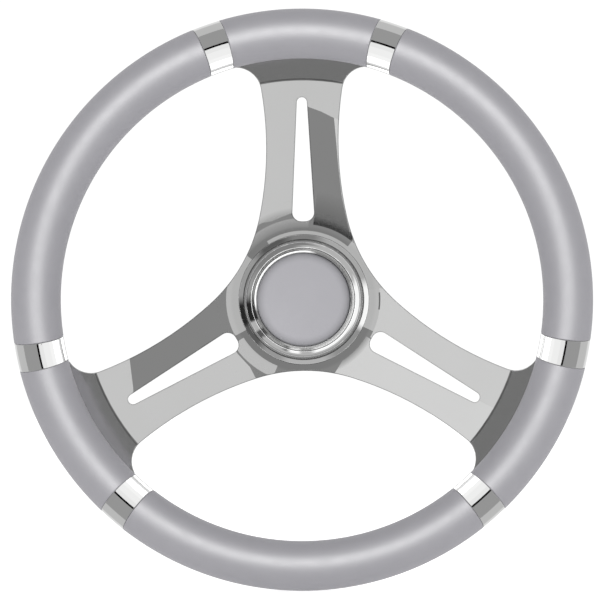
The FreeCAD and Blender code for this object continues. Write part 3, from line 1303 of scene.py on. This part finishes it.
def bezel_hood(bezel: bpy.types.Object) -> Hood:
    """The hood round the bezel: a white window from the right to the bottom, a dark door at the left.

    Args:
        bezel: The bezel.

    Returns:
        The hood, not built yet.
    """
    white, pale, mid, dim, dark, black = (tone.value for tone in Tone)
    shoulder_right, shoulder_lower_right = 0.6, 0.42
    inside = [
        Span(-180.0, -176.5, pale, 1.0),
        Span(-176.5, -163.0, white),
        Span(-163.0, -157.0, dim),
        Span(-157.0, -132.0, pale),
        Span(-132.0, -124.0, dark, 1.0),
        Span(-124.0, -113.0, pale, 1.0),
        Span(-113.0, -93.0, black, 1.0),
        Span(-93.0, -62.0, mid, 12.0),
        Span(-62.0, 0.0, dim, 12.0),
        Span(0.0, 72.0, pale, 4.0),
        Span(72.0, 172.0, white, 5.0),
        Span(172.0, 180.0, pale, 1.0),
    ]
    top = [
        Span(-180.0, -132.0, pale, 1.0),
        Span(-132.0, -124.0, dark, 1.0),
        Span(-124.0, -113.0, pale, 1.0),
        Span(-113.0, -93.0, black, 1.0),
        Span(-93.0, -62.0, mid, 8.0),
        Span(-62.0, 14.0, dim, 10.0),
        Span(14.0, 68.0, pale, 6.0),
        Span(68.0, 118.0, white, 5.0),
        Span(118.0, 180.0, pale, 12.0),
    ]
    crown = [
        Span(-180.0, -163.0, mid),
        Span(-163.0, -132.0, mid, 3.0),
        Span(-132.0, -124.0, dark, 1.0),
        Span(-124.0, -113.0, pale, 1.0),
        Span(-113.0, -93.0, black, 1.0),
        Span(-93.0, 8.0, dim, 8.0),
        Span(8.0, 118.0, pale, 6.0),
        Span(118.0, 180.0, mid, 8.0),
    ]
    shoulder = [
        Span(-180.0, -165.0, pale, 0.0),
        Span(-165.0, -135.0, mid, 8.0),
        Span(-135.0, -113.0, dark),
        Span(-113.0, -94.0, black, 1.0),
        Span(-94.0, -45.0, mid, 8.0),
        Span(-45.0, -15.0, dark, 6.0),
        Span(-15.0, 15.0, dim, 6.0),
        Span(15.0, 78.0, shoulder_right, 8.0),
        Span(78.0, 115.0, white, 1.5),
        Span(115.0, 155.0, shoulder_lower_right, 6.0),
        Span(155.0, 180.0, pale, 8.0),
    ]
    strips = [
        HoodStrip(-105.0, -8.0, inside),
        HoodStrip(-8.0, 26.0, top),
        HoodStrip(26.0, 70.0, crown),
        HoodStrip(70.0, 120.0, shoulder),
    ]
    return Hood("bezel", [bezel], (34.0, 40.0), 14.0, strips)


def lip_hood(cup: bpy.types.Object) -> Hood:
    """The small hood round the cup's lip: bright at the upper left, dim elsewhere.

    Args:
        cup: The cup.

    Returns:
        The hood, not built yet.
    """
    window = 1.9
    spans = [
        Span(-180.0, -155.0, Tone.PALE.value, 4.0),
        Span(-155.0, -98.0, Tone.DIM.value, 6.0),
        Span(-98.0, 10.0, window, 4.0),
        Span(10.0, 100.0, Tone.DIM.value, 6.0),
        Span(100.0, 180.0, Tone.PALE.value, 8.0),
    ]
    return Hood("lip", [cup], (29.2, 42.3), 3.5, [HoodStrip(-110.0, 110.0, spans)])


@dataclass(frozen=True)
class GrooveShade:
    """Dim rings that keep the light out of the bezel's groove and off its crown's outer edge, in mm."""

    groove_depth: float = 34.5
    groove_inner: float = 35.75
    groove_outer: float = 36.45
    groove_light: float = 0.12
    edge_centre: tuple[float, float] = (33.0, 40.9)
    edge_radius: float = 3.3
    edge_span: tuple[float, float] = (48.0, 85.0)
    edge_light: float = 0.36

    def build(self) -> None:
        """Makes the two rings."""
        groove = [(self.groove_inner, self.groove_depth), (self.groove_outer, self.groove_depth)]
        edge = section_arc(self.edge_centre, self.edge_radius, *self.edge_span)
        for name, profile, strength in (
            ("groove_shade", groove, self.groove_light),
            ("edge_shade", edge, self.edge_light),
        ):
            shade = new_object(name, swept(profile, 0.0, 360.0), light_material(name, strength))
            show_to(shade, Seen.REFLECTION)


@dataclass
class BandLights:
    """The room that the bands mirror: white inside the rim, black just outside it, then grey.

    Its discs and walls are round the wheel's axis, in mm, and the front and the back are depths.
    """

    bands: list[bpy.types.Object]
    front: float = 175.0
    back: float = -300.0
    core: float = 60.0
    brightest_edge: float = 132.0
    white_edge: float = 164.0
    grey_edge: float = 178.5
    wall: float = 600.0
    core_light: float = 0.70
    brightest_light: float = 1.32
    white_light: float = 1.22
    grey_light: float = 0.46
    wall_light: float = 0.75
    back_light: float = 1.0

    def build(self) -> None:
        """Makes the room's cards."""
        cards = CardSet("bands", self.bands)
        for first, second, strength in (
            ((0.0, self.front), (self.core, self.front), self.core_light),
            ((self.core, self.front), (self.brightest_edge, self.front), self.brightest_light),
            ((self.brightest_edge, self.front), (self.white_edge, self.front), self.white_light),
            ((self.core, self.front), (self.core, self.back), self.core_light),
            ((self.grey_edge, self.front), (self.wall, self.front), self.grey_light),
            ((self.wall, self.front), (self.wall, self.back), self.wall_light),
            ((self.core, self.back), (self.wall, self.back), self.back_light),
        ):
            cards.add(swept([first, second], 0.0, 360.0), strength)
        LOG.info("hung %d cards for the bands", cards.count)


def by_angle(stops: tuple[tuple[float, float], ...]) -> Stops:
    """Turns angles off the front, from the back to the front, into places on a ramp."""
    return [((math.cos(math.radians(angle)) + 1) / 2, grey) for angle, grey in stops]


@dataclass
class Studio:
    """The plain pale floor, the white surround and the soft lights.

    The greys of the dome and the world are by the angle off the front, in degrees, from the back.
    """

    hub: dict[str, bpy.types.Object]
    eye: Vector
    floor_drop: float = 0.1752
    floor_radius: float = 7.0
    floor_grey: float = 0.6
    floor_glow: float = 0.7
    surround_radius: float = 9.0
    surround_light: float = 1.05
    dome_radius: float = 8.0
    dome_greys: tuple[tuple[float, float], ...] = (
        (180.0, 0.9),
        (128.0, 0.85),
        (114.0, 0.35),
        (104.0, 0.25),
        (86.0, 0.245),
        (79.0, 0.13),
        (62.0, 0.13),
        (50.0, 0.26),
        (33.0, 0.35),
        (18.0, 0.35),
        (8.0, 0.3),
    )
    world_greys: tuple[tuple[float, float], ...] = ((180.0, 0.9), (90.0, 1.0), (0.0, 1.08))
    grip_sun: float = 13.2
    grip_sun_width: float = 54.0
    grip_sun_lift: float = 8.0
    disc_lamp: float = 0.03
    disc_lamp_radius: float = 0.02
    disc_lamp_place: tuple[float, float, float] = (-0.045, -0.095, -0.045)

    def sphere(self, name: str, radius: float, material: bpy.types.Material) -> bpy.types.Object:
        """A large sphere round the wheel.

        Args:
            name: The object's name.
            radius: Its radius.
            material: What it is made of.

        Returns:
            The sphere.
        """
        shape = bmesh.new()
        bmesh.ops.create_icosphere(shape, subdivisions=5, radius=radius)
        return new_object(name, shape, material)

    def forwardness(self, chain: NodeChain, where: Socket) -> Socket:
        """How far a direction points to the front.

        Args:
            chain: The tree to work in.
            where: The direction, of any length.

        Returns:
            A value from 0, straight behind, to 1, straight in front.
        """
        direction = chain.add("ShaderNodeVectorMath", operation="NORMALIZE")
        chain.join(where, direction.inputs[0])
        forward = chain.add("ShaderNodeVectorMath", operation="DOT_PRODUCT")
        forward.inputs[1].default_value = FORWARD
        chain.join(direction.outputs["Vector"], forward.inputs[0])
        return chain.map_range(forward.outputs["Value"], (-1.0, 1.0), (0.0, 1.0))

    def reflection_dome(self, pieces: list[bpy.types.Object]) -> None:
        """The dim room that polished surfaces mirror, bright only behind the wheel.

        Args:
            pieces: The pieces that mirror it.
        """
        material = light_material("room_in_reflections", 1.0)
        chain = NodeChain(material.node_tree)
        forwardness = self.forwardness(chain, chain.object_coordinates())
        greys = chain.greys(forwardness, by_angle(self.dome_greys))
        chain.join(greys, emission_of(material).inputs["Color"])
        dome = self.sphere("reflection_dome", self.dome_radius, material)
        show_to(dome, Seen.REFLECTION)
        CardSet("room", pieces).reach(dome)

    def grip_light(self, pieces: list[bpy.types.Object]) -> None:
        """The large soft light that draws the highlight along the grips' crest.

        Args:
            pieces: The pieces that it shines on.
        """
        lamp = bpy.data.lights.new("grip_light", "SUN")
        lamp.energy = self.grip_sun
        lamp.angle = math.radians(self.grip_sun_width)
        obj = bpy.data.objects.new("grip_light", lamp)
        lift = math.radians(self.grip_sun_lift)
        toward = Vector((0.0, -math.cos(lift), math.sin(lift)))
        obj.rotation_mode = "QUATERNION"
        obj.rotation_quaternion = toward.to_track_quat("Z", "Y")
        obj.visible_diffuse = False
        obj.visible_camera = False
        bpy.context.scene.collection.objects.link(obj)
        CardSet("grip_light", pieces).reach(obj)

    def disc_light(self, disc: bpy.types.Object) -> None:
        """The small lamp at the lower left that gives the disc its slow change of tone.

        Args:
            disc: The cap's disc, the only piece that it shines on.
        """
        lamp = bpy.data.lights.new("disc_light", "POINT")
        lamp.energy = self.disc_lamp
        lamp.shadow_soft_size = self.disc_lamp_radius
        obj = bpy.data.objects.new("disc_light", lamp)
        obj.location = self.disc_lamp_place
        obj.visible_camera = False
        bpy.context.scene.collection.objects.link(obj)
        CardSet("disc_light", [disc]).reach(obj)

    def world(self) -> None:
        """Even light for matte surfaces, a little stronger from the camera's side."""
        world = bpy.data.worlds.new("studio_light")
        world.use_nodes = True
        bpy.context.scene.world = world
        chain = NodeChain(world.node_tree)
        background = next(node for node in world.node_tree.nodes if node.type == "BACKGROUND")
        where = chain.add("ShaderNodeTexCoord").outputs["Generated"]
        greys = chain.greys(self.forwardness(chain, where), by_angle(self.world_greys))
        chain.join(greys, background.inputs["Color"])
        background.inputs["Strength"].default_value = 1.0
        world.cycles_visibility.camera = False
        world.cycles_visibility.glossy = False
        world.cycles_visibility.transmission = False
        world.cycles_visibility.scatter = False

    def floor(self) -> None:
        """The pale floor under the wheel."""
        material = new_material("pale_floor")
        chain = NodeChain(material.node_tree)
        paint = chain.add("ShaderNodeBsdfPrincipled", Roughness=0.8)
        paint.inputs["Base Color"].default_value = (self.floor_grey, self.floor_grey, self.floor_grey, 1.0)
        paint.inputs["Emission Color"].default_value = (1.0, 1.0, 1.0, 1.0)
        paint.inputs["Emission Strength"].default_value = self.floor_glow
        chain.join(paint.outputs["BSDF"], chain.output().inputs["Surface"])
        material.cycles.emission_sampling = "NONE"
        shape = bmesh.new()
        bmesh.ops.create_circle(shape, cap_ends=True, radius=self.floor_radius, segments=96)
        bmesh.ops.translate(shape, verts=shape.verts, vec=Vector((0.0, 0.0, -self.floor_drop)))
        obj = new_object("floor", shape, material)
        obj.visible_glossy = False

    def build(self) -> None:
        """Builds the whole studio."""
        nodes = frame["nodes"]
        grips = [node for name, node in nodes.items() if name.startswith("grip_")]
        bands = [node for name, node in nodes.items() if name.startswith("band_")]
        others = [node for name, node in nodes.items() if not name.startswith("band_")]
        white = light_material("white", self.surround_light)
        show_to(self.sphere("surround", self.surround_radius, white), Seen.CAMERA)
        self.reflection_dome([*others, self.hub["disc"]])
        PlateLights(nodes["spoke_spider"], self.eye).build()
        bezel_hood(self.hub["bezel"]).build()
        lip_hood(self.hub["cup"]).build()
        GrooveShade().build()
        BandLights(bands).build()
        self.grip_light(grips)
        self.disc_light(self.hub["disc"])
        self.world()
        self.floor()
        scene = bpy.context.scene
        scene.view_settings.view_transform = "Standard"
        scene.view_settings.look = "None"


@dataclass(frozen=True)
class Camera:
    """The photograph's view: square on and from far away, turned by a hair.

    Angles are in degrees, and the rim's centre is its place in the photograph, in pixels.
    """

    azimuth: float = 1.5
    elevation: float = 0.2
    roll: float = 0.38
    distance: float = 6.0
    frame_width: float = 0.3606
    rim_centre_px: tuple[float, float] = (301.85, 299.7)
    frame_px: float = 600.0
    sensor: float = 36.0
    farthest: float = 100.0

    def build(self) -> bpy.types.Object:
        """Makes the camera and gives it to the scene.

        Returns:
            The camera.
        """
        data = bpy.data.cameras.new("camera")
        data.sensor_width = self.sensor
        data.lens = self.sensor * self.distance / self.frame_width
        data.clip_end = self.farthest
        low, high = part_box("rim_core_tube")
        across, up = math.radians(self.azimuth), math.radians(self.elevation)
        back = Vector((math.sin(across) * math.cos(up), -math.cos(across) * math.cos(up), math.sin(up)))
        turn = Quaternion(back, math.radians(-self.roll)) @ (-back).to_track_quat("-Z", "Y")
        pixel = self.frame_width / self.frame_px
        right = (self.frame_px / 2 - self.rim_centre_px[0]) * pixel
        upward = (self.rim_centre_px[1] - self.frame_px / 2) * pixel
        target = (low + high) / 2 + turn @ Vector((right, upward, 0.0))
        camera = bpy.data.objects.new("camera", data)
        camera.rotation_mode = "QUATERNION"
        camera.rotation_quaternion = turn
        camera.location = target + back * self.distance
        bpy.context.scene.collection.objects.link(camera)
        bpy.context.scene.camera = camera
        return camera


def main() -> None:
    """Builds the camera, the finishes, the turned hub and the studio."""
    logging.basicConfig(level=logging.INFO, format="%(name)s %(message)s")
    camera = Camera().build()
    wardrobe = Wardrobe()
    wardrobe.make()
    wardrobe.dress_nodes()
    hub = Hub().build(wardrobe.finishes)
    Studio(hub, camera.location.copy()).build()


if __name__ == "__main__":
    main()
